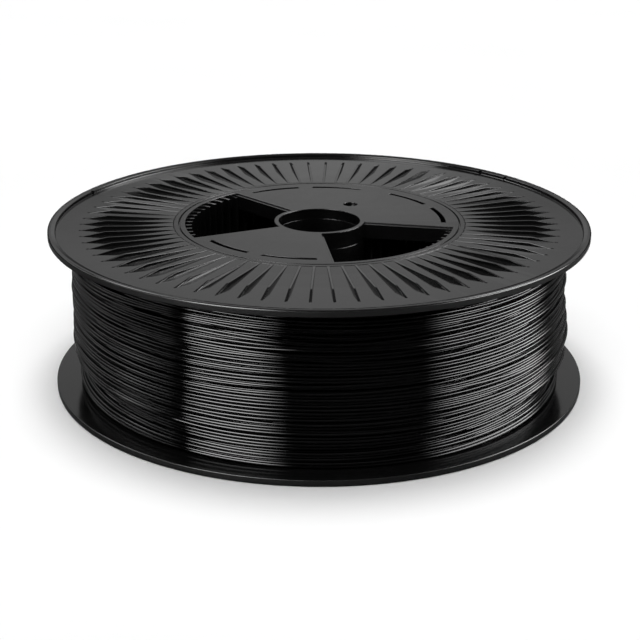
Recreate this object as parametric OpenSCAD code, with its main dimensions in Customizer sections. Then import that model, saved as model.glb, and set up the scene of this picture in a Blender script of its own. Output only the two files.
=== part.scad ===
// Large spool of 3D printer filament, lying flat.
// Two flange discs are clamped between a barrel and two snap-in core caps,
// a hub tube joins the caps, and the filament is wound between the flanges.
// Both ends use the same mouldings: the lower end is the upper one turned over.
// The origin is the centre of the underside, and +Z is the spindle axis.
// End parts are drawn with z = 0 at the rim plane and the spool below it.

/* [Spool] */
// Outside diameter of the flanges
flange_d = 350; // [344:1:360]
// Overall width over both rims
spool_w = 106; // [96:1:120]
// Diameter of the spindle bore
bore_d = 53; // [50:0.5:54]
// Outside diameter of the barrel that the filament is wound on
barrel_d = 190; // [189:0.5:192]

/* [Flange disc] */
// Height of the rim, which is also the full thickness of the flange
rim_h = 4.2; // [3.9:0.1:5]
// Width of the rim's top
rim_w = 4.7; // [4.2:0.1:5.2]
// How far the disc lies below the rim plane at its edge
disc_drop = 2.5; // [2.3:0.1:2.7]
// Number of stiffening fins
fin_count = 72; // [36:12:72]
// Thickness of a fin
fin_t = 1.7; // [1.2:0.1:2]
// Diameter of the holes in the rim that hold the filament's end
end_hole_d = 3.2; // [3:0.1:3.6]

/* [Core cap] */
// Thickness of the centre plates
plate_t = 1.8; // [1.6:0.1:1.9]
// Thickness of the webs under the plates' edges
web_t = 2.2; // [1.8:0.1:2.4]
// Depth of the collar and webs below the rim plane
collar_depth = 12.5; // [12:0.1:13]
// Diameter of the drive hole in the back plate
drive_hole_d = 9.5; // [8:0.5:10]
// Width of the arc slots over the snap tabs
slot_w = 3; // [2.6:0.1:3]

/* [Barrel and filament] */
// Thickness of the ribs inside the barrel
rib_t = 1.8; // [1.4:0.1:2]
// Outside diameter of the wound filament
winding_d = 324; // [250:1:326]
// Diameter of the filament
filament_d = 1.75; // [1.75, 2.85]

/* [Hidden] */
$fn = 96;
eps = 0.01;
fit_gap = 0.1;

flange_r = flange_d / 2;
rim_in_r = flange_r - rim_w;
rim_lean = 0.5;
rim_chamfer = 0.8;
rim_flat = 1.4;
rim_draft = 0.3;
edge_chamfer = 0.6;

bore_r = bore_d / 2;
hub_wall = 3;
hub_r = bore_r + hub_wall;
hub_spigot_r = bore_r + 1.6;
hub_spigot_l = 4;

barrel_r = barrel_d / 2;
barrel_in_r = 91.8;
barrel_l = spool_w - 2 * rim_h;

// Core ring: its lip holds the flange disc down, its collar plugs into the barrel
ring_drop = 1.75;
lip_r = 95;
lip_t = 1.35;
seat_drop = ring_drop + lip_t;
collar_in_r = 87.4;
collar_r = barrel_in_r - fit_gap;

// The disc is crowned: [radius, drop below the rim plane] of each crease
crown = [[lip_r, ring_drop], [108.75, 2.15], [130.5, 2.4]];

// Fins rise from the ring to an apex and fall to the disc
fin_in_r = lip_r;
fin_apex_r = 139.5;
fin_tip_r = 154.5;
fin_apex_drop = 0.15;
fin_phase = 3.25;
fin_pitch = 360 / fin_count;
// Radial holes in the rim for the filament's end
end_hole_angles = [38, 46, 158];
end_hole_tilt = 28;
// The lower disc is fitted this much further round than its cap
lower_disc_turn = 60;

// Ribs stand inside the barrel and its collars, one under each fin
rib_in_r = 83.2;
rib_top_drop = ring_drop + plate_t + 0.2;

// The cap has five sectors of 72 degrees, and two of them are open
sector = 72;
sector_centre = 25;
back_from = sector_centre - sector / 2;
back_to = back_from + 2 * sector;
front_from = back_from + 3 * sector;
front_to = front_from + sector;
web_angles = [back_from, back_from + sector, back_to, front_from, front_to];
// A plate's edge stands back from the sector line, and the web's face less so
plate_setback = 2.25;
web_setback = 1;
web_top_drop = ring_drop + 1.15;
drive_hole_r = 43.5;

// Two arc slots and two snap tabs in each plated sector
slot_r = 81;
slot_span = 24.5;
slot_gap = 7;
slot_shift = (slot_span + slot_gap) / 2;
plated_centres = [sector_centre, sector_centre + sector, sector_centre + 3 * sector];
tab_t = 1.8;
tab_r = slot_r - slot_w / 2 - fit_gap;
tab_span = 20;
barb_w = 2.8;
barb_h = 2;
catch_in_r = 79.8;
catch_out_r = 84.2;
catch_t = 1.6;
notch_drop = collar_depth + fit_gap;
catch_drop = notch_drop + 0.4;
barb_drop = catch_drop + catch_t + fit_gap;
tab_depth = barb_drop + barb_h;

// The winding fills the space between the flanges, up to its outer layer
winding_r = winding_d / 2;
winding_from = rim_h + fit_gap;
winding_to = spool_w - rim_h - fit_gap;
filament_r = filament_d / 2;
outer_layer_in_r = winding_r - 1.5 * filament_d;

// --- Helpers -----------------------------------------------------------

// Places an end part at the upper end of the spool
module at_upper() {
    translate([0, 0, spool_w]) children();
}

// Turns an end part over about the line through the drive hole, then turns it on the axis
module at_lower(turn = 0) {
    rotate([0, 0, 2 * (back_from + sector) + turn]) rotate([180, 0, 0]) children();
}

// A hollow cylinder whose top lies at a drop below the rim plane
module tube(r_out, r_in, top, bottom) {
    translate([0, 0, -bottom]) difference() {
        cylinder(r = r_out, h = bottom - top);
        translate([0, 0, -eps]) cylinder(r = r_in, h = bottom - top + 2 * eps);
    }
}

// A part of a hollow cylinder, centred on an angle
module arc_bar(r_out, r_in, top, bottom, angle, span) {
    rotate([0, 0, angle - span / 2])
        rotate_extrude(angle = span)
            translate([r_in, -bottom]) square([r_out - r_in, bottom - top]);
}

// A plan outline bounded by two lines that run beside the sector lines
module sector_outline(from, to, setback, reach) {
    mid = (from + to) / 2;
    half = (to - from) / 2;
    near = setback / sin(min(half, 90));
    polygon([
        near * [cos(mid), sin(mid)],
        setback * [-sin(from), cos(from)] + reach * [cos(from), sin(from)],
        reach * [cos(mid - half / 2), sin(mid - half / 2)] * 1.3,
        reach * [cos(mid), sin(mid)] * 1.3,
        reach * [cos(mid + half / 2), sin(mid + half / 2)] * 1.3,
        setback * [sin(to), -cos(to)] + reach * [cos(to), sin(to)]
    ]);
}

// A centre plate between the hub and the ring
module plate_blank(from, to) {
    translate([0, 0, -ring_drop - plate_t]) linear_extrude(plate_t) intersection() {
        difference() {
            circle(r = collar_in_r);
            circle(r = hub_r);
        }
        sector_outline(from, to, plate_setback, collar_in_r);
    }
}

module slots(centre) {
    for (side = [-1, 1])
        arc_bar(slot_r + slot_w / 2, slot_r - slot_w / 2, 0, collar_depth,
                centre + side * slot_shift, slot_span);
}

// --- End parts ---------------------------------------------------------

module disc_blank() {
    rotate_extrude() polygon(concat(
        [[barrel_in_r, -rim_h], [flange_r - edge_chamfer, -rim_h],
         [flange_r, -rim_h + edge_chamfer], [flange_r, -rim_chamfer],
         [flange_r - rim_chamfer, 0], [flange_r - rim_chamfer - rim_flat, 0],
         [rim_in_r, -rim_lean], [rim_in_r - rim_draft, -disc_drop]],
        [for (i = [len(crown) - 1:-1:0]) [crown[i][0], -crown[i][1]]],
        [[lip_r, -seat_drop], [barrel_in_r, -seat_drop]]
    ));
}

module end_hole(angle) {
    rotate([0, 0, angle]) translate([rim_in_r, 0, -disc_drop / 2])
        rotate([0, 90 + end_hole_tilt, 0])
            translate([0, 0, -end_hole_d / 2]) cylinder(d = end_hole_d, h = 3 * rim_w);
}

module flange_disc() {
    difference() {
        disc_blank();
        for (angle = end_hole_angles) end_hole(angle);
    }
}

module fin_blank() {
    rotate([90, 0, 0]) translate([0, 0, -fin_t / 2]) linear_extrude(fin_t) polygon([
        [fin_in_r + eps, -seat_drop],
        [fin_in_r + eps, -ring_drop],
        [fin_apex_r, -fin_apex_drop],
        [fin_tip_r, -disc_drop],
        [fin_tip_r, -seat_drop]
    ]);
}

// The fins stand on the crowned disc, so its shape is taken out of their feet
module fins() {
    difference() {
        for (i = [0:fin_count - 1]) rotate([0, 0, fin_phase + i * fin_pitch]) fin_blank();
        disc_blank();
    }
}

module core_ring() {
    tube(lip_r, collar_in_r, ring_drop, seat_drop);
    tube(collar_r, collar_in_r, seat_drop, collar_depth);
}

module back_plate() {
    difference() {
        plate_blank(back_from, back_to);
        slots(plated_centres[0]);
        slots(plated_centres[1]);
        rotate([0, 0, back_from + sector])
            translate([drive_hole_r, 0, -collar_depth]) cylinder(d = drive_hole_d, h = collar_depth);
    }
}

module front_plate() {
    difference() {
        plate_blank(front_from, front_to);
        slots(plated_centres[2]);
    }
}

// One radial web; side is +1 or -1 for the way that it lies from its sector line
module web(angle, side, top) {
    shift = side == 0 ? 0 : side * (web_setback + web_t / 2);
    intersection() {
        tube(collar_in_r, hub_r, top, collar_depth);
        rotate([0, 0, angle]) translate([0, shift - web_t / 2, -collar_depth])
            cube([collar_in_r + 1, web_t, collar_depth]);
    }
}

// The webs at open sectors have a low lip outside the plate's edge
module edge_web(angle, side) {
    web(angle, side, ring_drop + plate_t);
    lip_w = plate_setback - web_setback - fit_gap;
    intersection() {
        tube(collar_in_r, hub_r, web_top_drop, ring_drop + plate_t);
        rotate([0, 0, angle])
            translate([0, side > 0 ? web_setback : -web_setback - lip_w, -collar_depth])
                cube([collar_in_r + 1, lip_w, collar_depth]);
    }
}

module web_walls() {
    edge_web(web_angles[0], 1);
    web(web_angles[1], 0, ring_drop + plate_t);
    edge_web(web_angles[2], -1);
    edge_web(web_angles[3], 1);
    edge_web(web_angles[4], -1);
}

module hub_collar() {
    difference() {
        tube(hub_r, bore_r, ring_drop, collar_depth);
        tube(hub_spigot_r, bore_r - 1, collar_depth - hub_spigot_l, collar_depth + eps);
    }
}

module snap_tabs() {
    for (centre = plated_centres) for (side = [-1, 1]) {
        angle = centre + side * slot_shift;
        arc_bar(tab_r, tab_r - tab_t, ring_drop + plate_t, tab_depth, angle, tab_span);
        arc_bar(tab_r + barb_w, tab_r - eps, barb_drop, tab_depth, angle, tab_span);
    }
}

// --- Middle parts ------------------------------------------------------

module core_barrel() color("#1c1c1c") {
    translate([0, 0, rim_h]) difference() {
        cylinder(r = barrel_r, h = barrel_l);
        translate([0, 0, -eps]) cylinder(r = barrel_in_r, h = barrel_l + 2 * eps);
    }
}

// A rib runs from end to end, and both collars slide in behind its notched ends
module rib_blank() {
    notch_r = collar_in_r - fit_gap;
    rotate([90, 0, 0]) translate([0, 0, -rib_t / 2]) linear_extrude(rib_t) polygon([
        [rib_in_r, rib_top_drop], [notch_r, rib_top_drop],
        [notch_r, notch_drop], [barrel_in_r + 1, notch_drop],
        [barrel_in_r + 1, spool_w - notch_drop], [notch_r, spool_w - notch_drop],
        [notch_r, spool_w - rib_top_drop], [rib_in_r, spool_w - rib_top_drop]
    ]);
}

// A catch joins the inner edges of a few ribs, and a snap tab hooks behind it
module catch_arcs() {
    for (centre = plated_centres) for (side = [-1, 1])
        arc_bar(catch_out_r, catch_in_r, catch_drop, catch_drop + catch_t,
                centre + side * slot_shift, slot_span);
}

module barrel_ribs() color("#262626") {
    intersection() {
        cylinder(r = barrel_in_r, h = spool_w);
        for (i = [0:fin_count - 1]) rotate([0, 0, fin_phase + i * fin_pitch]) rib_blank();
    }
    at_upper() catch_arcs();
    at_lower() catch_arcs();
}

module hub_tube() color("#1c1c1c") {
    spigot_end = collar_depth - hub_spigot_l + fit_gap;
    translate([0, 0, spigot_end]) difference() {
        cylinder(r = hub_spigot_r - fit_gap, h = spool_w - 2 * spigot_end);
        translate([0, 0, -eps]) cylinder(r = bore_r, h = spool_w);
    }
    translate([0, 0, collar_depth + fit_gap]) difference() {
        cylinder(r = hub_r, h = spool_w - 2 * (collar_depth + fit_gap));
        translate([0, 0, -eps]) cylinder(r = bore_r + 1, h = spool_w);
    }
}

module filament_inner_layers() color("#0a0a0a") {
    translate([0, 0, winding_from]) difference() {
        cylinder(r = outer_layer_in_r, h = winding_to - winding_from);
        translate([0, 0, -eps]) cylinder(r = barrel_r + fit_gap, h = spool_w);
    }
}

module filament_outer_layer() color("#050505") {
    rotate_extrude() polygon([
        [outer_layer_in_r, winding_from], [winding_r - filament_r, winding_from],
        [winding_r, winding_from + filament_r], [winding_r, winding_to - filament_r],
        [winding_r - filament_r, winding_to], [outer_layer_in_r, winding_to]
    ]);
}

// --- Nodes -------------------------------------------------------------

module upper_flange_disc() color("#2b2b2b") at_upper() flange_disc();
module upper_fins() color("#242424") at_upper() fins();
module upper_core_ring() color("#333333") at_upper() core_ring();
module upper_back_plate() color("#3a3a3a") at_upper() back_plate();
module upper_front_plate() color("#3a3a3a") at_upper() front_plate();
module upper_web_walls() color("#303030") at_upper() web_walls();
module upper_hub_collar() color("#333333") at_upper() hub_collar();
module upper_snap_tabs() color("#262626") at_upper() snap_tabs();

module lower_flange_disc() color("#2b2b2b") at_lower(lower_disc_turn) flange_disc();
module lower_fins() color("#242424") at_lower(lower_disc_turn) fins();
module lower_core_ring() color("#333333") at_lower() core_ring();
module lower_back_plate() color("#3a3a3a") at_lower() back_plate();
module lower_front_plate() color("#3a3a3a") at_lower() front_plate();
module lower_web_walls() color("#303030") at_lower() web_walls();
module lower_hub_collar() color("#333333") at_lower() hub_collar();
module lower_snap_tabs() color("#262626") at_lower() snap_tabs();

upper_flange_disc();
upper_fins();
upper_core_ring();
upper_back_plate();
upper_front_plate();
upper_web_walls();
upper_hub_collar();
upper_snap_tabs();
lower_flange_disc();
lower_fins();
lower_core_ring();
lower_back_plate();
lower_front_plate();
lower_web_walls();
lower_hub_collar();
lower_snap_tabs();
core_barrel();
barrel_ribs();
hub_tube();
filament_inner_layers();
filament_outer_layer();
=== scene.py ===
"""Looks of a large spool of black 3D printer filament, lying flat on a pale floor.

Sizes are in millimetres and turned into metres when a mesh is made. End parts are
described with z = 0 at the rim plane and the spool below it, as in the CAD source,
and put at the upper or lower end by at_upper() and at_lower().
"""

import math

import bmesh
import bpy
import numpy as np
from mathutils import Matrix, Vector


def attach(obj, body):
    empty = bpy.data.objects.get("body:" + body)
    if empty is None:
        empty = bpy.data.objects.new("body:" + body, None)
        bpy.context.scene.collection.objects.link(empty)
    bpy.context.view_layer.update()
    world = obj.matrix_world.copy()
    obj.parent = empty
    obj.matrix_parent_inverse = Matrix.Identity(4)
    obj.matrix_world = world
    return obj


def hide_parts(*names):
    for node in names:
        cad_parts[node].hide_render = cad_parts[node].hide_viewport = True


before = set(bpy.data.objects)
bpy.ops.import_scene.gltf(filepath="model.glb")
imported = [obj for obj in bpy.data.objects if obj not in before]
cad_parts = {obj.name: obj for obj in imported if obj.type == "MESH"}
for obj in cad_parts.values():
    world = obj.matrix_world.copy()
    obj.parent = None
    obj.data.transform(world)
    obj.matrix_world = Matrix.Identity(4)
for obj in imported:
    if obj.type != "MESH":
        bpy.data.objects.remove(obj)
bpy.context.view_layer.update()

MM = 0.001
TAU = 2 * math.pi

# Spool
SPOOL_W = 106.0
FLANGE_R = 175.0
RIM_H = 4.2
RIM_IN_R = 170.3
DISC_DROP = 2.5
RING_DROP = 1.75
LIP_R = 95.0
BORE_R = 26.5
HUB_R = 29.5
COLLAR_IN_R = 87.4
COLLAR_R = 91.7
COLLAR_DEPTH = 12.5
BARREL_R = 95.0
BARREL_IN_R = 91.8
PLATE_T = 1.8
CROWN = [(130.5, -2.4), (108.75, -2.15)]

# Fins
FIN_COUNT = 72
FIN_PHASE = 3.25
FIN_IN_R = 95.05
FIN_APEX_R = 139.5
FIN_TIP_R = 154.5
FIN_APEX_DROP = 0.15

# Sectors of the core cap
BACK_FROM = -11.0
SECTOR = 72.0
BACK_TO = BACK_FROM + 2 * SECTOR
FRONT_FROM = BACK_FROM + 3 * SECTOR
FRONT_TO = FRONT_FROM + SECTOR
PLATE_SETBACK = 2.25
WEB_SETBACK = 1.0
WEB_T = 2.2
SLOT_R = 81.0
SLOT_W = 3.0
SLOT_SPAN = 24.5
SLOT_SHIFT = 15.75
PLATED_CENTRES = [25.0, 97.0, 241.0]
DRIVE_HOLE_R = 43.5
DRIVE_HOLE_D = 9.5
DRIVE_ANGLE = BACK_FROM + SECTOR
END_HOLE_ANGLES = [38, 46, 158]
END_HOLE_TILT = 28
END_HOLE_D = 3.2
LOWER_DISC_TURN = 60.0

# Ribs in the barrel
RIB_IN_R = 83.2
RIB_T = 1.8
RIB_TOP_DROP = RING_DROP + PLATE_T + 0.2
NOTCH_DROP = 12.6
CATCH_IN_R = 79.8
CATCH_OUT_R = 84.2
CATCH_T = 1.6

# Winding
FILAMENT_D = 1.75
WIND_R = 162.0
WIND_FROM = RIM_H + 0.1
WIND_TO = SPOOL_W - WIND_FROM
PITCH = 2.2
MIN_PITCH = FILAMENT_D + 0.01
STEPS = 144  # samples in each turn
LOW_TURNS = 5  # turns of the separate bundle at the bottom
UNDER_DEPTH = 3.0  # the seen layers lie this far inside WIND_R
OVER_DEPTH = 0.4
SUNK_DEPTH = 1.9
PROUD = 1.7
CORE_DEPTH = 6.5
WIND_SEED, SUNK_SEED = 11, 5

# Camera, fitted to the rims, bore and core ring
CAMERA_AT = (0.00065, -0.87398, 0.36564)
CAMERA_TILT = 20.758
CAMERA_ROLL = 0.185
CAMERA_LENS = 78.255
SENSOR_W = 36.0

# Lights: name, strength, elevation (over 90 is behind the spool) and spread, in degrees
SUNS = [("front_soft", 1.60, 112.0, 46.0), ("top_soft", 2.28, 80.0, 30.0)]

# Panels seen in reflections: strength, then where each starts, is full, fades and ends,
# in degrees of azimuth (0 is in front, + is to the right) and of height
PANELS = [
    (12.0, (-61, -58, -33, -13), (2, 8, 40, 60)),
    (15.0, (48, 66, 108, 126), (7, 12, 24, 32)),
    (3.6, (-140, -110, -74, -64), (14, 17, 20, 24)),
    (5.0, (-165, -150, -112, -98), (36, 42, 52, 60)),
    (8.0, (92, 104, 150, 165), (36, 42, 52, 60)),
]

# Surroundings, in metres
FLOOR_HALF, FLOOR_Z = 12.0, -0.0001
WALL_R, WALL_BASE, WALL_TOP, WALL_SIDES = 11.5, -0.2, 8.0, 96


# --- Mesh helpers ------------------------------------------------------------

class Shape:
    """Vertices in mm and faces, collected from several closed shells."""

    def __init__(self):
        self.verts = []
        self.faces = []
        self.count = 0

    def add(self, verts, faces):
        verts = np.asarray(verts, float)
        self.verts.append(verts)
        self.faces += [[i + self.count for i in face] for face in faces]
        self.count += len(verts)
        return self

    def points(self):
        return np.concatenate(self.verts)


def turned(verts, degrees):
    """Turns points about the spindle axis."""
    a = math.radians(degrees)
    c, s = math.cos(a), math.sin(a)
    v = np.asarray(verts, float)
    return np.stack([v[:, 0] * c - v[:, 1] * s, v[:, 0] * s + v[:, 1] * c, v[:, 2]], 1)


def at_upper(verts):
    v = np.array(verts, float)
    v[:, 2] += SPOOL_W
    return v


def at_lower(verts):
    """Turns an end part over about the line through the drive hole."""
    v = np.array(verts, float) * [1, -1, -1]
    return turned(v, 2 * DRIVE_ANGLE)


ENDS = {"upper": at_upper, "lower": at_lower}


def rounded(corners, steps=4):
    """Turns (r, z, radius) corners into a profile with rounded corners."""
    out = []
    n = len(corners)
    for i in range(n):
        p = np.array(corners[i][:2], float)
        radius = corners[i][2] if len(corners[i]) > 2 else 0
        if radius <= 0:
            out.append(tuple(p))
            continue
        a = np.array(corners[i - 1][:2], float) - p
        b = np.array(corners[(i + 1) % n][:2], float) - p
        la, lb = np.linalg.norm(a), np.linalg.norm(b)
        a, b = a / la, b / lb
        half = math.acos(max(-1, min(1, float(a @ b)))) / 2
        t = min(radius / math.tan(half), 0.48 * la, 0.48 * lb)
        radius = t * math.tan(half)
        centre = p + (a + b) / np.linalg.norm(a + b) * radius / math.sin(half)
        start, end = p + a * t - centre, p + b * t - centre
        sweep = math.pi - 2 * half
        for k in range(steps + 1):
            f = k / steps
            w0 = math.sin((1 - f) * sweep) / math.sin(sweep)
            w1 = math.sin(f * sweep) / math.sin(sweep)
            out.append(tuple(centre + start * w0 + end * w1))
    return out


def revolved(profile, segments=360):
    """A closed ring from a profile that runs anticlockwise in (r, z)."""
    p = np.array(profile, float)
    n = len(p)
    angle = np.arange(segments) * TAU / segments
    verts = np.stack([
        np.outer(np.cos(angle), p[:, 0]),
        np.outer(np.sin(angle), p[:, 0]),
        np.outer(np.ones(segments), p[:, 1]),
    ], 2).reshape(-1, 3)
    faces = []
    for i in range(segments):
        a, b = i * n, (i + 1) % segments * n
        for j in range(n):
            k = (j + 1) % n
            faces.append([a + j, b + j, b + k, a + k])
    return verts, faces


def lofted(sections):
    """A closed shell through rings of points, with its ends capped."""
    n = len(sections[0])
    verts = np.concatenate([np.asarray(s, float) for s in sections])
    faces = [list(range(n))[::-1]]
    for i in range(len(sections) - 1):
        a, b = i * n, (i + 1) * n
        for j in range(n):
            k = (j + 1) % n
            faces.append([a + j, a + k, b + k, b + j])
    last = (len(sections) - 1) * n
    faces.append([last + j for j in range(n)])
    return verts, faces


def slab(outlines, z_low, z_high, bevel=0.25, steps=3):
    """A flat plate of any outline with holes, its edges rounded, as vertices and faces."""
    curve = bpy.data.curves.new("slab", "CURVE")
    curve.dimensions = "2D"
    curve.fill_mode = "BOTH"
    curve.extrude = (z_high - z_low) / 2 - bevel
    curve.bevel_depth = bevel
    curve.bevel_resolution = steps - 1
    curve.offset = -bevel
    for outline in outlines:
        spline = curve.splines.new("POLY")
        spline.points.add(len(outline) - 1)
        for point, (x, y) in zip(spline.points, outline):
            point.co = (x, y, 0, 1)
        spline.use_cyclic_u = True
    holder = bpy.data.objects.new("slab", curve)
    bpy.context.scene.collection.objects.link(holder)
    bpy.context.view_layer.update()
    depsgraph = bpy.context.evaluated_depsgraph_get()
    mesh = bpy.data.meshes.new_from_object(holder.evaluated_get(depsgraph))
    bpy.data.objects.remove(holder)
    work = bmesh.new()
    work.from_mesh(mesh)
    bmesh.ops.remove_doubles(work, verts=work.verts, dist=1e-4)
    bmesh.ops.recalc_face_normals(work, faces=work.faces)
    work.verts.ensure_lookup_table()
    verts = np.array([v.co for v in work.verts])
    verts[:, 2] += (z_low + z_high) / 2
    faces = [[v.index for v in f.verts] for f in work.faces]
    work.free()
    bpy.data.meshes.remove(mesh)
    return verts, faces


def new_piece(name, shape, material, slot=None, replaces=(), sharp=32, weighted=True):
    """Makes the mesh object of a piece and ties it to the CAD body."""
    mesh = bpy.data.meshes.new(name)
    mesh.from_pydata((shape.points() * MM).tolist(), [], shape.faces)
    mesh.update()
    obj = bpy.data.objects.new(name, mesh)
    bpy.context.scene.collection.objects.link(obj)
    mesh.materials.append(material)
    dress(obj, sharp, weighted)
    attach(obj, "root")
    if replaces:
        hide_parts(*replaces)
    return obj


def dress(obj, sharp, weighted):
    mesh = obj.data
    mesh.polygons.foreach_set("use_smooth", [True] * len(mesh.polygons))
    mesh.set_sharp_from_angle(angle=math.radians(sharp))
    if weighted:
        for old in [m for m in obj.modifiers if m.type == "WEIGHTED_NORMAL"]:
            obj.modifiers.remove(old)
        modifier = obj.modifiers.new("even_normals", "WEIGHTED_NORMAL")
        modifier.keep_sharp = True


def cut(obj, shape):
    """Takes a shape out of a piece."""
    mesh = bpy.data.meshes.new("cutter")
    mesh.from_pydata((shape.points() * MM).tolist(), [], shape.faces)
    mesh.update()
    tool = bpy.data.objects.new("cutter", mesh)
    bpy.context.scene.collection.objects.link(tool)
    obj.modifiers.clear()
    modifier = obj.modifiers.new("cut", "BOOLEAN")
    modifier.operation = "DIFFERENCE"
    modifier.solver = "EXACT"
    modifier.object = tool
    bpy.context.view_layer.update()
    depsgraph = bpy.context.evaluated_depsgraph_get()
    result = bpy.data.meshes.new_from_object(obj.evaluated_get(depsgraph))
    obj.modifiers.clear()
    old = obj.data
    obj.data = result
    bpy.data.meshes.remove(old)
    bpy.data.objects.remove(tool)
    bpy.data.meshes.remove(mesh)
    result.name = obj.name
    dress(obj, 32, True)


# --- Materials -----------------------------------------------------------------

RIM_SCUFF = 0.25

class Nodes:
    """Short helper for building a node tree."""

    def __init__(self, tree):
        self.tree = tree
        self.tree.nodes.clear()

    def node(self, kind, inputs=None, **settings):
        made = self.tree.nodes.new(kind)
        for key, value in settings.items():
            setattr(made, key, value)
        for key, value in (inputs or {}).items():
            socket = made.inputs[key]
            if isinstance(value, bpy.types.NodeSocket):
                self.tree.links.new(value, socket)
            else:
                socket.default_value = value
        return made

    def ramp(self, value, from_low, from_high, to_low, to_high, smooth=False):
        made = self.node("ShaderNodeMapRange", {
            "Value": value, "From Min": from_low, "From Max": from_high,
            "To Min": to_low, "To Max": to_high,
        })
        if smooth:
            made.interpolation_type = "SMOOTHSTEP"
        return made.outputs["Result"]

    def math(self, operation, a, b=0.0):
        made = self.node("ShaderNodeMath", operation=operation)
        for socket, value in zip(made.inputs, (a, b)):
            if isinstance(value, bpy.types.NodeSocket):
                self.tree.links.new(value, socket)
            else:
                socket.default_value = value
        return made.outputs[0]


def noise(n, coords, scale, detail=3.0, rough=0.5, distortion=0.0):
    return n.node("ShaderNodeTexNoise", {
        "Vector": coords, "Scale": scale, "Detail": detail,
        "Roughness": rough, "Distortion": distortion,
    }).outputs["Fac"]


def moulded_plastic(name, colour, light_colour, rough, rough_spread, grain, grain_depth):
    """Black moulded plastic: fine grain, uneven gloss, convex edges painted lighter as a painted
    highlight, and a scuffed rim wall.
    """
    material = bpy.data.materials.new(name)
    material.use_nodes = True
    n = Nodes(material.node_tree)
    place = n.node("ShaderNodeTexCoord").outputs["Object"]
    cloud = noise(n, place, 22.0, 4.0, 0.6, 0.4)
    patch = noise(n, place, 150.0, 3.0, 0.6)
    fine = noise(n, place, grain, 2.0, 0.6)
    # Convex edges are painted lighter in colour as a painted edge highlight; the same mask also
    # makes these edges a little glossier.
    painted_edge_highlight = n.ramp(n.node("ShaderNodeNewGeometry").outputs["Pointiness"], 0.52, 0.60, 0.0, 1.0)
    tone = n.math("ADD", n.ramp(cloud, 0.35, 0.7, 0.0, 0.5), n.ramp(patch, 0.35, 0.7, 0.0, 0.3))
    tone = n.math("ADD", tone, n.math("MULTIPLY", painted_edge_highlight, 0.5))
    base = n.node("ShaderNodeMix", {0: tone, 6: (*colour, 1), 7: (*light_colour, 1)},
                  data_type="RGBA", clamp_factor=True)
    gloss = n.math("ADD", n.ramp(cloud, 0.3, 0.7, rough - rough_spread, rough + rough_spread),
                   n.ramp(patch, 0.3, 0.7, -rough_spread * 0.5, rough_spread * 0.5))
    gloss = n.math("SUBTRACT", gloss, n.math("MULTIPLY", painted_edge_highlight, 0.06))
    spot = n.node("ShaderNodeSeparateXYZ", {0: place}).outputs
    squares = [n.math("POWER", spot[i], 2.0) for i in (0, 1)]
    reach = n.math("SQRT", n.math("ADD", *squares))
    scuffed = n.ramp(reach, (FLANGE_R - 0.12) * MM, (FLANGE_R - 0.04) * MM, 0.0, RIM_SCUFF)
    gloss = n.math("ADD", gloss, scuffed)
    bump = n.node("ShaderNodeBump", {
        "Height": fine, "Strength": 0.6, "Distance": grain_depth * MM})
    shader = n.node("ShaderNodeBsdfPrincipled", {
        "Base Color": base.outputs[2], "Roughness": gloss, "Normal": bump.outputs[0],
        "IOR": 1.5,
    })
    out = n.node("ShaderNodeOutputMaterial", {"Surface": shader.outputs[0]})
    out.is_active_output = True
    return material


def extruded_plastic(name, colour, light_colour, rough):
    """Glossy black filament: near mirror skin with slight unevenness along the strand."""
    material = bpy.data.materials.new(name)
    material.use_nodes = True
    n = Nodes(material.node_tree)
    place = n.node("ShaderNodeTexCoord").outputs["Object"]
    slow = noise(n, place, 35.0, 3.0, 0.6)
    quick = noise(n, place, 900.0, 2.0, 0.5)
    base = n.node("ShaderNodeMix", {
        0: n.ramp(slow, 0.35, 0.7, 0.0, 1.0), 6: (*colour, 1), 7: (*light_colour, 1)},
        data_type="RGBA", clamp_factor=True)
    gloss = n.math("ADD", n.ramp(slow, 0.3, 0.7, rough - 0.01, rough + 0.03),
                   n.ramp(quick, 0.3, 0.7, -0.01, 0.02))
    bump = n.node("ShaderNodeBump", {"Height": quick, "Strength": 0.2, "Distance": 0.008 * MM})
    shader = n.node("ShaderNodeBsdfPrincipled", {
        "Base Color": base.outputs[2], "Roughness": gloss, "Normal": bump.outputs[0],
        "IOR": 1.5,
    })
    n.node("ShaderNodeOutputMaterial", {"Surface": shader.outputs[0]})
    return material


FLANGE_BLACK = moulded_plastic(
    "flange_black", (0.0030, 0.0030, 0.0031), (0.0070, 0.0070, 0.0070), 0.15, 0.02, 2600.0, 0.0020)
CORE_BLACK = moulded_plastic(
    "core_black", (0.0032, 0.0032, 0.0033), (0.0072, 0.0072, 0.0072), 0.22, 0.02, 2200.0, 0.0026)
FILAMENT_BLACK = extruded_plastic(
    "filament_black", (0.0014, 0.0014, 0.0015), (0.0026, 0.0026, 0.0027), 0.055)


# --- Flange discs ---------------------------------------------------------------

SEAT_DROP = RING_DROP + 1.35

DISC_PROFILE = rounded([
    (BARREL_IN_R, -RIM_H, 0.3),
    (FLANGE_R, -RIM_H, 0.5),
    (FLANGE_R, 0, 1.3),
    (FLANGE_R - 2.2, 0, 0.3),
    (RIM_IN_R, -0.5, 0.4),
    (RIM_IN_R - 0.3, -DISC_DROP, 0.4),
    (CROWN[0][0], CROWN[0][1], 2.0),
    (CROWN[1][0], CROWN[1][1], 2.0),
    (LIP_R + 0.12, -RING_DROP - 0.1, 0.35),
    (LIP_R + 0.12, -SEAT_DROP), (BARREL_IN_R, -SEAT_DROP),
], 6)


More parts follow.
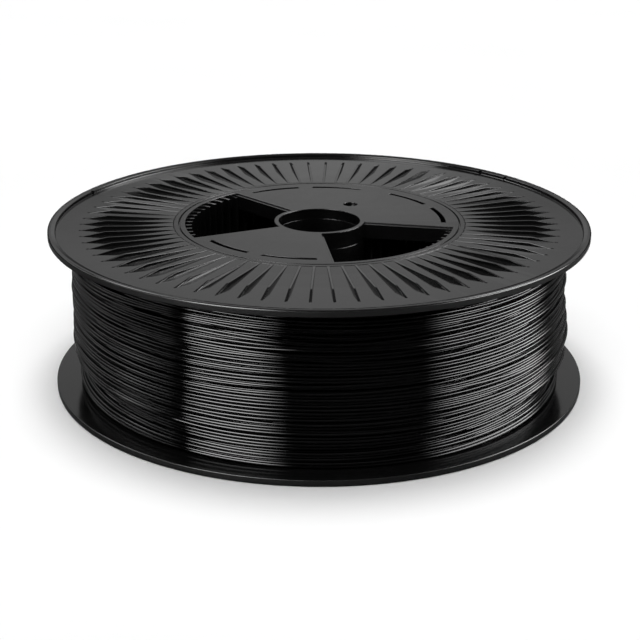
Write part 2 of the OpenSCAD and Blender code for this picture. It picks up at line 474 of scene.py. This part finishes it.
def end_hole_tools():
    tools = Shape()
    tilt = math.radians(END_HOLE_TILT)
    along = np.array([math.cos(tilt), 0, -math.sin(tilt)])
    across = np.array([math.sin(tilt), 0, math.cos(tilt)])
    side = np.array([0.0, 1.0, 0.0])
    start = np.array([RIM_IN_R, 0, -DISC_DROP / 2]) - along * END_HOLE_D / 2
    ring = [math.cos(a) * side + math.sin(a) * across
            for a in np.arange(32) * TAU / 32]
    for angle in END_HOLE_ANGLES:
        sections = [[start + along * s + d * END_HOLE_D / 2 for d in ring] for s in (0, 14.1)]
        verts, faces = lofted(sections)
        tools.add(turned(verts, angle), faces)
    return tools


def pit_tools():
    """A small dimple at the outer end of each fin."""
    tools = Shape()
    rings, sides = 5, 14
    for i in range(FIN_COUNT):
        sections = []
        for j in range(rings):
            lift = -1.1 + j * 0.5
            size = (0.50, 0.74, 0.84, 0.90, 0.94)[j]
            sections.append([
                (FIN_TIP_R + 0.1 + 1.2 * size * math.cos(a), size * math.sin(a),
                 -DISC_DROP + lift)
                for a in np.arange(sides) * TAU / sides])
        verts, faces = lofted(sections)
        tools.add(turned(verts, FIN_PHASE + i * 360 / FIN_COUNT), faces)
    return tools


def disc_surface(r):
    rs = [LIP_R, CROWN[1][0], CROWN[0][0], RIM_IN_R]
    zs = [-RING_DROP, CROWN[1][1], CROWN[0][1], -DISC_DROP]
    return float(np.interp(r, rs, zs))


def fin_shape():
    """One fin: drafted sides, rounded top edges, an apex and a sloping end."""
    foot_w, top_w, edge = 0.95, 0.68, 0.22
    stations = [FIN_IN_R, 101.0, 108.75, 119.0, 130.5, 137.5, 138.7, FIN_APEX_R, 140.3, 141.5,
                147.0, 151.0, FIN_TIP_R - 0.9]
    rise = (FIN_APEX_DROP - RING_DROP) / (FIN_APEX_R - FIN_IN_R)
    fall = (DISC_DROP - FIN_APEX_DROP) / (FIN_TIP_R - FIN_APEX_R)
    sections = []
    for r in stations:
        top = min(-RING_DROP - rise * (r - FIN_IN_R), -FIN_APEX_DROP - fall * (r - FIN_APEX_R))
        near = max(0.0, 1 - abs(r - FIN_APEX_R) / 1.5)
        top -= 0.05 * near
        foot = disc_surface(r) - 0.35
        height = top - foot
        share = min(1.0, height / 2.4)
        w = foot_w - (foot_w - top_w) * share
        e = min(edge, height * 0.3)
        half = [(foot_w, foot), (w + 0.01, top - e), (w - 0.3 * e, top - 0.3 * e), (w - e, top)]
        ring = [(r, y, z) for y, z in half] + [(r, -y, z) for y, z in half[::-1]]
        sections.append(ring)
    return lofted(sections)


def build_flange(end):
    def place(points):
        return turned(ENDS[end](points), LOWER_DISC_TURN if end == "lower" else 0)

    verts, faces = revolved(DISC_PROFILE)
    disc = new_piece(end + "_flange", Shape().add(place(verts), faces), FLANGE_BLACK,
                     "flange_plastic", [end + "_flange_disc"])
    tools = Shape()
    for made in (end_hole_tools(), pit_tools()):
        tools.add(place(made.points()), made.faces)
    cut(disc, tools)
    fins = Shape()
    verts, faces = fin_shape()
    for i in range(FIN_COUNT):
        fins.add(place(turned(verts, FIN_PHASE + i * 360 / FIN_COUNT)), faces)
    new_piece(end + "_flange_fins", fins, FLANGE_BLACK, "flange_plastic", [end + "_fins"],
              sharp=40)


# --- Core caps ------------------------------------------------------------------

def arc(r, start, end, step=1.5):
    n = max(2, int(round(abs(end - start) / step)) + 1)
    angles = np.radians(np.linspace(start, end, n))
    return [(r * math.cos(a), r * math.sin(a)) for a in angles]


def circle(r, cx=0.0, cy=0.0, n=240):
    return [(cx + r * math.cos(a), cy + r * math.sin(a)) for a in np.arange(n) * TAU / n]


def arc_slot(centre, span, r, width):
    return arc(r + width / 2, centre - span / 2, centre + span / 2, 0.75) + \
        arc(r - width / 2, centre + span / 2, centre - span / 2, 0.75)


def open_sector(start, end):
    """The outline of an open sector between the edges of two plates."""
    def edge(r, angle, side):
        return angle + side * math.degrees(math.asin(PLATE_SETBACK / r))
    outer = arc(COLLAR_IN_R, edge(COLLAR_IN_R, start, -1), edge(COLLAR_IN_R, end, 1), 1.0)
    inner = arc(HUB_R, edge(HUB_R, end, 1), edge(HUB_R, start, -1), 2.0)
    return outer + inner


GROOVE_IN_R = BARREL_IN_R - 0.85
CAP_OUTLINES = [
    circle(GROOVE_IN_R, n=360), circle(BORE_R, n=180),
    open_sector(BACK_TO, FRONT_FROM), open_sector(FRONT_TO, BACK_FROM + 360),
    circle(DRIVE_HOLE_D / 2, DRIVE_HOLE_R * math.cos(math.radians(DRIVE_ANGLE)),
           DRIVE_HOLE_R * math.sin(math.radians(DRIVE_ANGLE)), 64),
] + [arc_slot(centre + side * SLOT_SHIFT, SLOT_SPAN, SLOT_R, SLOT_W)
     for centre in PLATED_CENTRES for side in (-1, 1)]

RING_PROFILE = rounded([
    (COLLAR_IN_R, -COLLAR_DEPTH, 0.3), (COLLAR_R, -COLLAR_DEPTH, 0.6),
    (COLLAR_R, -SEAT_DROP - 0.05),
    (LIP_R, -SEAT_DROP - 0.05, 0.2), (LIP_R, -RING_DROP, 0.45), (BARREL_IN_R, -RING_DROP, 0.25),
    (BARREL_IN_R, -RING_DROP - 1.4), (GROOVE_IN_R - 0.3, -RING_DROP - 1.4),
    (GROOVE_IN_R - 0.3, -RING_DROP - 0.6), (COLLAR_IN_R, -RING_DROP - 0.6),
])

HUB_PROFILE = rounded([
    (BORE_R + 1.6, -COLLAR_DEPTH, 0.1), (HUB_R, -COLLAR_DEPTH, 0.4), (HUB_R, -RING_DROP - 1.0),
    (BORE_R, -RING_DROP - 1.0), (BORE_R, -8.5), (BORE_R + 1.6, -8.5),
])


def web_bar(angle, side, top):
    """A radial web; its face beside an open sector has a rounded top edge."""
    if side:
        near, far = WEB_SETBACK, WEB_SETBACK + WEB_T
    else:
        near, far = -WEB_T / 2, WEB_T / 2
    section = rounded([
        (near, -COLLAR_DEPTH, 0.3), (far, -COLLAR_DEPTH, 0.3), (far, top), (near, top, 0.3)], 3)
    if side < 0:
        section = [(-s, z) for s, z in section][::-1]
    rings = [[(r, s, z) for s, z in section] for r in (HUB_R - 0.3, COLLAR_IN_R + 0.3)]
    verts, faces = lofted(rings)
    return turned(verts, angle), faces


WEB_TOP = -RING_DROP - 1.15
CAP_WEBS = [
    (BACK_FROM, 1, WEB_TOP), (BACK_FROM + SECTOR, 0, WEB_TOP - 0.6), (BACK_TO, -1, WEB_TOP),
    (FRONT_FROM, 1, WEB_TOP), (FRONT_TO, -1, WEB_TOP),
]


def build_cap(end):
    place = ENDS[end]

    def piece(name, parts, nodes, **options):
        shape = Shape()
        for verts, faces in parts:
            shape.add(place(verts), faces)
        return new_piece(f"{end}_{name}", shape, CORE_BLACK, "core_plastic",
                         [f"{end}_{node}" for node in nodes], **options)

    piece("cap_face", [slab(CAP_OUTLINES, -RING_DROP - PLATE_T, -RING_DROP, 0.28)],
          ["back_plate", "front_plate"])
    piece("cap_ring", [revolved(RING_PROFILE)], ["core_ring"])
    piece("cap_hub", [revolved(HUB_PROFILE, 180)], ["hub_collar"])
    piece("cap_webs", [web_bar(*web) for web in CAP_WEBS], ["web_walls"])


# --- Barrel, ribs and hub tube -----------------------------------------------------

def build_middle():
    shell = rounded([
        (BARREL_IN_R, RIM_H, 0.3), (BARREL_R, RIM_H, 0.3),
        (BARREL_R, SPOOL_W - RIM_H, 0.3), (BARREL_IN_R, SPOOL_W - RIM_H, 0.3)])
    new_piece("barrel_shell", Shape().add(*revolved(shell, 240)), CORE_BLACK,
              "core_plastic", ["core_barrel"])

    notch_r = COLLAR_IN_R - 0.1
    low, high = RIB_TOP_DROP, SPOOL_W - RIB_TOP_DROP
    outline = [
        (RIB_IN_R, low), (notch_r, low), (notch_r, NOTCH_DROP), (BARREL_IN_R + 0.1, NOTCH_DROP),
        (BARREL_IN_R + 0.1, SPOOL_W - NOTCH_DROP), (notch_r, SPOOL_W - NOTCH_DROP),
        (notch_r, high), (RIB_IN_R, high)]
    verts, faces = slab([outline], -RIB_T / 2, RIB_T / 2, 0.25)
    upright = np.stack([verts[:, 0], -verts[:, 2], verts[:, 1]], 1)
    ribs = Shape()
    for i in range(FIN_COUNT):
        ribs.add(turned(upright, FIN_PHASE + i * 360 / FIN_COUNT), faces)
    for place in ENDS.values():
        for centre in PLATED_CENTRES:
            for side in (-1, 1):
                bar = arc_slot(centre + side * SLOT_SHIFT, SLOT_SPAN,
                               (CATCH_IN_R + CATCH_OUT_R) / 2, CATCH_OUT_R - CATCH_IN_R)
                verts, faces = slab([bar], -NOTCH_DROP - 0.4 - CATCH_T, -NOTCH_DROP - 0.4, 0.2)
                ribs.add(place(verts), faces)
    new_piece("barrel_rib_set", ribs, CORE_BLACK, "core_plastic", ["barrel_ribs"])

    end = 8.6
    tube = rounded([
        (BORE_R, end, 0.2), (BORE_R + 1.5, end, 0.2), (BORE_R + 1.5, COLLAR_DEPTH + 0.1),
        (HUB_R, COLLAR_DEPTH + 0.1, 0.3), (HUB_R, SPOOL_W - COLLAR_DEPTH - 0.1, 0.3),
        (BORE_R + 1.5, SPOOL_W - COLLAR_DEPTH - 0.1), (BORE_R + 1.5, SPOOL_W - end, 0.2),
        (BORE_R, SPOOL_W - end, 0.2)])
    new_piece("hub_sleeve", Shape().add(*revolved(tube, 180)), CORE_BLACK, "core_plastic",
              ["hub_tube"])


# --- Wound filament ----------------------------------------------------------------


def ring_field(rng, waves, heights, amplitude):
    """A smooth random field over angle and height, the same at 0 and 360 degrees."""
    terms = []
    for k in range(1, waves + 1):
        for m in range(heights):
            terms.append((k, m, rng.uniform(0, TAU), rng.uniform(0, TAU),
                          rng.normal() / (k ** 0.8) / (1 + 0.5 * m)))
    scale = amplitude / math.sqrt(sum(t[4] ** 2 for t in terms) / 2)

    def field(theta, z):
        total = np.zeros(np.broadcast(theta, z).shape)
        for k, m, p, q, a in terms:
            total = total + a * np.sin(k * theta + p) * np.cos(m * math.pi * z / SPOOL_W + q)
        return total * scale
    return field


def wander(rng, count, amplitude, knots_per_turn):
    """Smooth noise along one strand, for every sample of every turn."""
    knots = rng.normal(size=count * knots_per_turn + 4)
    at = np.arange(count * STEPS) / STEPS * knots_per_turn + 1.5
    i = at.astype(int)
    f = at - i
    f = f * f * (3 - 2 * f)
    line = knots[i] * (1 - f) + knots[i + 1] * f
    return (amplitude * line).reshape(count, STEPS)


def waist(theta, z):
    """How far the winding draws in above its lowest turns, at the left and right sides."""
    sides = np.cos(theta) ** 2
    above = sides ** 1.5 * np.exp(-((z - 18.5) / 4.6) ** 2) * 5.5
    return above + sides * np.clip((17.0 - z) / 3.0, 0, 1) * 2.2


def belly(theta, z):
    """How far the winding bulges low down and draws in higher up, most at the right."""
    right = 1.9 * np.clip(np.cos(theta), 0, 1) ** 2 * np.cos((z - 36.0) / 38.0 * math.pi)
    left = 0.8 * np.clip(-np.cos(theta), 0, 1) ** 2 * np.cos((z - 30.0) / 46.0 * math.pi)
    return (right + left) * np.clip((z - 18.0) / 8.0, 0, 1)


def kept_apart(z, low, high, gap):
    """Pushes neighbouring turns of a layer apart, top turn first."""
    gap = np.broadcast_to(gap, z.shape)
    z[0] = np.minimum(z[0], high)
    for k in range(1, len(z)):
        z[k] = np.minimum(z[k], z[k - 1] - gap[k])
    z[-1] = np.maximum(z[-1], low)
    for k in range(len(z) - 2, -1, -1):
        z[k] = np.maximum(z[k], z[k + 1] + gap[k + 1])
    return z


def smoothed(rows, width):
    """Smooths along the strand, across the joins between turns."""
    line = rows.reshape(-1)
    kernel = np.exp(-0.5 * (np.arange(-3 * width, 3 * width + 1) / width) ** 2)
    padded = np.pad(line, 3 * width, mode="edge")
    return np.convolve(padded, kernel / kernel.sum(), "valid").reshape(rows.shape)


def strand_tube(r, z, start_angle, sides=10):
    """A tube along a strand given by its radius and height at every sample."""
    count = r.size
    r, z = r.reshape(-1), z.reshape(-1)
    angle = np.radians(start_angle) + np.arange(count) * TAU / STEPS
    out = np.stack([np.cos(angle), np.sin(angle), np.zeros(count)], 1)
    centre = out * r[:, None]
    centre[:, 2] = z
    along = np.gradient(centre, axis=0)
    along /= np.linalg.norm(along, axis=1)[:, None]
    up = np.cross(along, out)
    up /= np.linalg.norm(up, axis=1)[:, None]
    out = np.cross(up, along)
    verts = []
    for j in range(sides):
        a = (j + 0.5) * TAU / sides
        verts.append(centre + FILAMENT_D / 2 * (math.cos(a) * out + math.sin(a) * up))
    verts = np.stack(verts, 1).reshape(-1, 3)
    faces = [list(range(sides))]
    for i in range(count - 1):
        a, b = i * sides, (i + 1) * sides
        for j in range(sides):
            k = (j + 1) % sides
            faces.append([a + j, b + j, b + k, a + k])
    faces.append([(count - 1) * sides + j for j in range(sides)][::-1])
    return verts, faces


def rest_on(r, z, under, reach=FILAMENT_D):
    """Raises a turn so that it lies on the turns under it."""
    for other_r, other_z in under:
        gap = np.abs(z - other_z)
        touch = other_r + np.sqrt(np.maximum(reach ** 2 - gap ** 2, 0))
        r = np.where(gap < reach, np.maximum(r, touch), r)
    return r


def build_winding():
    rng = np.random.default_rng(WIND_SEED)
    radius = FILAMENT_D / 2
    low, high = WIND_FROM + radius, WIND_TO - radius
    turns = int((high - low) / PITCH) + 1
    theta = np.arange(STEPS) * TAU / STEPS + TAU / 4
    s = np.arange(turns)[:, None] + np.arange(STEPS)[None, :] / STEPS

    shared = ring_field(rng, 5, 5, 0.9)
    under_z = low + (high - low) * s / turns
    under_z = under_z + shared(theta[None, :], under_z) + wander(rng, turns, 0.2, 6)
    under_z = kept_apart(under_z[::-1], low, high, MIN_PITCH)[::-1]
    under_r = WIND_R - radius - UNDER_DEPTH - waist(theta[None, :], under_z) \
        + belly(theta[None, :], under_z) \
        + wander(rng, turns, 0.12, 9)
    under_z = smoothed(under_z, 2)
    under_r = smoothed(under_r, 2)
    new_piece("winding_under", Shape().add(*strand_tube(under_r, under_z, 90, 8)),
              FILAMENT_BLACK, "filament", sharp=80, weighted=False)

    shared = ring_field(rng, 6, 6, 1.1)
    # Some turns drop behind their neighbours at the sides, which leaves dark gaps
    sunk = np.zeros((turns, 1))
    pick = np.random.default_rng(SUNK_SEED)
    k = 3
    while k < turns - LOW_TURNS - 2:
        sunk[k] = 1
        k += int(pick.integers(3, 6))
    behind = sunk * np.abs(np.cos(theta[None, :])) ** 3
    spacing = 1 - 0.9 * behind
    passed = np.cumsum(spacing, 0) - spacing * (1 - np.arange(STEPS)[None, :] / STEPS)
    over_z = high - (high - low) * passed / spacing.sum(0)
    drift = shared(theta[None, :], over_z)
    lift = 6.0 * np.cos(theta[None, :]) ** 4 * np.exp(-((over_z - 15.0) / 13.0) ** 2)
    lift[-LOW_TURNS:] = 0
    drift[-LOW_TURNS:] *= 0.3
    over_z = over_z + drift + lift + wander(rng, turns, 0.5, 7)
    over_z = kept_apart(over_z, low, high, MIN_PITCH * spacing)
    for k in range(2, turns - LOW_TURNS - 1):
        for _ in range(2):
            if rng.random() < 0.42:
                middle, half = rng.uniform(0, TAU), math.radians(rng.uniform(14, 42))
                away = np.abs((theta - middle + math.pi) % TAU - math.pi)
                bump = np.cos(np.clip(away / half, 0, 1) * math.pi) * 0.5 + 0.5
                over_z[k] += bump * rng.choice([-1, 1]) * rng.uniform(0.8, 2.6)
    over_z = smoothed(np.clip(over_z, low, high), 2)
    base = WIND_R - radius - OVER_DEPTH - waist(theta[None, :], over_z) \
        + belly(theta[None, :], over_z) \
        + wander(rng, turns, 0.48, 6) - SUNK_DEPTH * behind
    placed = [(under_r[k], under_z[k]) for k in range(turns)]
    over_r = np.zeros_like(over_z)
    laid = []
    for k in range(turns):
        r = rest_on(base[k], over_z[k], placed, FILAMENT_D)
        if not sunk[k]:
            r = rest_on(r, over_z[k], laid, FILAMENT_D * 0.9)
        over_r[k] = np.minimum(r, WIND_R + PROUD)
        laid.append((over_r[k], over_z[k]))
    over_r = smoothed(over_r, 2)
    new_piece("winding_outer", Shape().add(*strand_tube(over_r, over_z, 90, 10)),
              FILAMENT_BLACK, "filament", ["filament_outer_layer"], sharp=80, weighted=False)

    profile = [(BARREL_R + 0.1, WIND_FROM)]
    core_r = WIND_R - CORE_DEPTH
    bumps = int((WIND_TO - WIND_FROM) / PITCH)
    step = (WIND_TO - WIND_FROM) / bumps
    for k in range(bumps):
        for f in (0.0, 0.2, 0.5, 0.8):
            profile.append((core_r + 0.8 * math.sin(f * math.pi), WIND_FROM + (k + f) * step))
    profile += [(core_r, WIND_TO), (BARREL_R + 0.1, WIND_TO)]
    new_piece("winding_inner", Shape().add(*revolved(profile, 180)), FILAMENT_BLACK,
              "filament", ["filament_inner_layers"], sharp=80, weighted=False)


# --- Surroundings ------------------------------------------------------------------

def build_floor():
    material = bpy.data.materials.new("floor_white")
    material.use_nodes = True
    n = Nodes(material.node_tree)
    place = n.node("ShaderNodeTexCoord").outputs["Object"]
    shade = n.ramp(noise(n, place, 3.0, 2.0), 0.3, 0.7, 0.84, 0.86)
    colour = n.node("ShaderNodeCombineColor", {0: shade, 1: shade, 2: shade})
    shader = n.node("ShaderNodeBsdfDiffuse", {"Color": colour.outputs[0]})
    n.node("ShaderNodeOutputMaterial", {"Surface": shader.outputs[0]})
    half, z = FLOOR_HALF, FLOOR_Z
    mesh = bpy.data.meshes.new("floor")
    mesh.from_pydata([(-half, -half, z), (half, -half, z), (half, half, z), (-half, half, z)],
                     [], [[0, 1, 2, 3]])
    mesh.materials.append(material)
    floor = bpy.data.objects.new("floor", mesh)
    bpy.context.scene.collection.objects.link(floor)
    floor.visible_glossy = False
    build_backdrop()


def build_backdrop():
    """A white wall far round the spool, seen only where a low view looks past the floor."""
    material = bpy.data.materials.new("backdrop_white")
    material.use_nodes = True
    n = Nodes(material.node_tree)
    glow = n.node("ShaderNodeEmission", {"Color": (1.0, 1.0, 1.0, 1), "Strength": 1.0})
    n.node("ShaderNodeOutputMaterial", {"Surface": glow.outputs[0]})
    verts = [(WALL_R * math.cos(a), WALL_R * math.sin(a), z)
             for a in np.arange(WALL_SIDES) * TAU / WALL_SIDES for z in (WALL_BASE, WALL_TOP)]
    faces = []
    for i in range(WALL_SIDES):
        a, b = 2 * i, 2 * ((i + 1) % WALL_SIDES)
        faces.append([a, b, b + 1, a + 1])
    mesh = bpy.data.meshes.new("backdrop")
    mesh.from_pydata(verts, [], faces)
    mesh.materials.append(material)
    wall = bpy.data.objects.new("backdrop", mesh)
    bpy.context.scene.collection.objects.link(wall)
    wall.visible_glossy = False
    wall.visible_diffuse = False
    wall.visible_transmission = False
    wall.visible_shadow = False


def build_world():
    """A dark room with soft panels, seen only in reflections."""
    world = bpy.data.worlds.new("studio")
    bpy.context.scene.world = world
    world.cycles_visibility.diffuse = False
    world.use_nodes = True
    n = Nodes(world.node_tree)
    axes = n.node("ShaderNodeSeparateXYZ", {
        0: n.node("ShaderNodeTexCoord").outputs["Generated"]})
    x, y, z = axes.outputs
    azimuth = n.math("MULTIPLY", n.math("ARCTAN2", x, n.math("MULTIPLY", y, -1.0)), 360 / TAU)
    height = n.math("MULTIPLY", n.math("ARCSINE", z), 360 / TAU)

    def window(value, a, b, c, d):
        up = n.ramp(value, a, b, 0.0, 1.0, True)
        down = n.ramp(value, c, d, 1.0, 0.0, True)
        return n.math("MULTIPLY", up, down)

    def panel(strength, across, upward):
        both = n.math("MULTIPLY", window(azimuth, *across), window(height, *upward))
        return n.math("MULTIPLY", both, strength)

    total = n.ramp(height, -5.0, 20.0, 0.01, 0.05, True)
    for each in PANELS:
        total = n.math("ADD", total, panel(*each))
    off_front = n.math("ABSOLUTE", azimuth)
    off_back = n.math("SUBTRACT", 180.0, off_front)
    back = n.math("ADD", n.ramp(off_back, 0.0, 15.0, 0.46, 0.36, True),
                  n.math("MULTIPLY", window(off_back, 24, 36, 42, 58), 0.25))
    start = n.ramp(off_back, 2.0, 9.0, 8.0, 13.0)
    rise = n.ramp(n.math("SUBTRACT", height, start), 0.0, 4.0, 0.0, 1.0, True)
    fall = n.ramp(height, 24.0, 34.0, 1.0, 0.0, True)
    back = n.math("MULTIPLY", back, n.math("MULTIPLY", rise, fall))
    back = n.math("MULTIPLY", back, n.ramp(off_back, 44.0, 66.0, 1.0, 0.0, True))
    total = n.math("ADD", total, back)
    below = n.math("MULTIPLY", n.ramp(off_front, 115.0, 165.0, 0.16, 0.36, True),
                   window(height, -25, -22, -18, -14))
    total = n.math("ADD", total, below)
    total = n.math("ADD", total, n.ramp(height, 58.0, 74.0, 0.0, 0.30, True))
    light = n.node("ShaderNodeBackground", {"Color": (1.0, 1.0, 1.0, 1), "Strength": total})
    n.node("ShaderNodeOutputWorld", {"Surface": light.outputs[0]})


def build_lights():
    """Two wide soft lights: one high in front, one nearly overhead for the shadow in front."""
    for name, strength, elevation, spread in SUNS:
        data = bpy.data.lights.new(name, "SUN")
        data.energy = strength
        data.angle = math.radians(spread)
        lamp = bpy.data.objects.new(name, data)
        bpy.context.scene.collection.objects.link(lamp)
        lift = math.radians(elevation)
        aim = Vector((0, -math.cos(lift), -math.sin(lift)))
        lamp.rotation_euler = aim.to_track_quat("-Z", "Y").to_euler()
        lamp.visible_glossy = False


def build_camera():
    tilt, roll = math.radians(CAMERA_TILT), math.radians(CAMERA_ROLL)
    forward = Vector((0, math.cos(tilt), -math.sin(tilt)))
    up = Vector((0, math.sin(tilt), math.cos(tilt)))
    right = Vector((1, 0, 0))
    side = right * math.cos(roll) + up * math.sin(roll)
    top = up * math.cos(roll) - right * math.sin(roll)
    data = bpy.data.cameras.new("camera")
    data.sensor_width = SENSOR_W
    data.lens = CAMERA_LENS
    data.clip_start, data.clip_end = 0.05, 60
    camera = bpy.data.objects.new("camera", data)
    bpy.context.scene.collection.objects.link(camera)
    turn = Matrix((side, top, -forward)).transposed().to_4x4()
    camera.matrix_world = Matrix.Translation(CAMERA_AT) @ turn
    bpy.context.scene.camera = camera


for end in ENDS:
    build_flange(end)
    build_cap(end)
    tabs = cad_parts[end + "_snap_tabs"]
    tabs.data.materials.clear()
    tabs.data.materials.append(CORE_BLACK)
build_middle()
build_winding()
build_floor()
build_world()
build_lights()
build_camera()

scene = bpy.context.scene
scene.view_settings.view_transform = "Standard"
scene.cycles.use_denoising = True
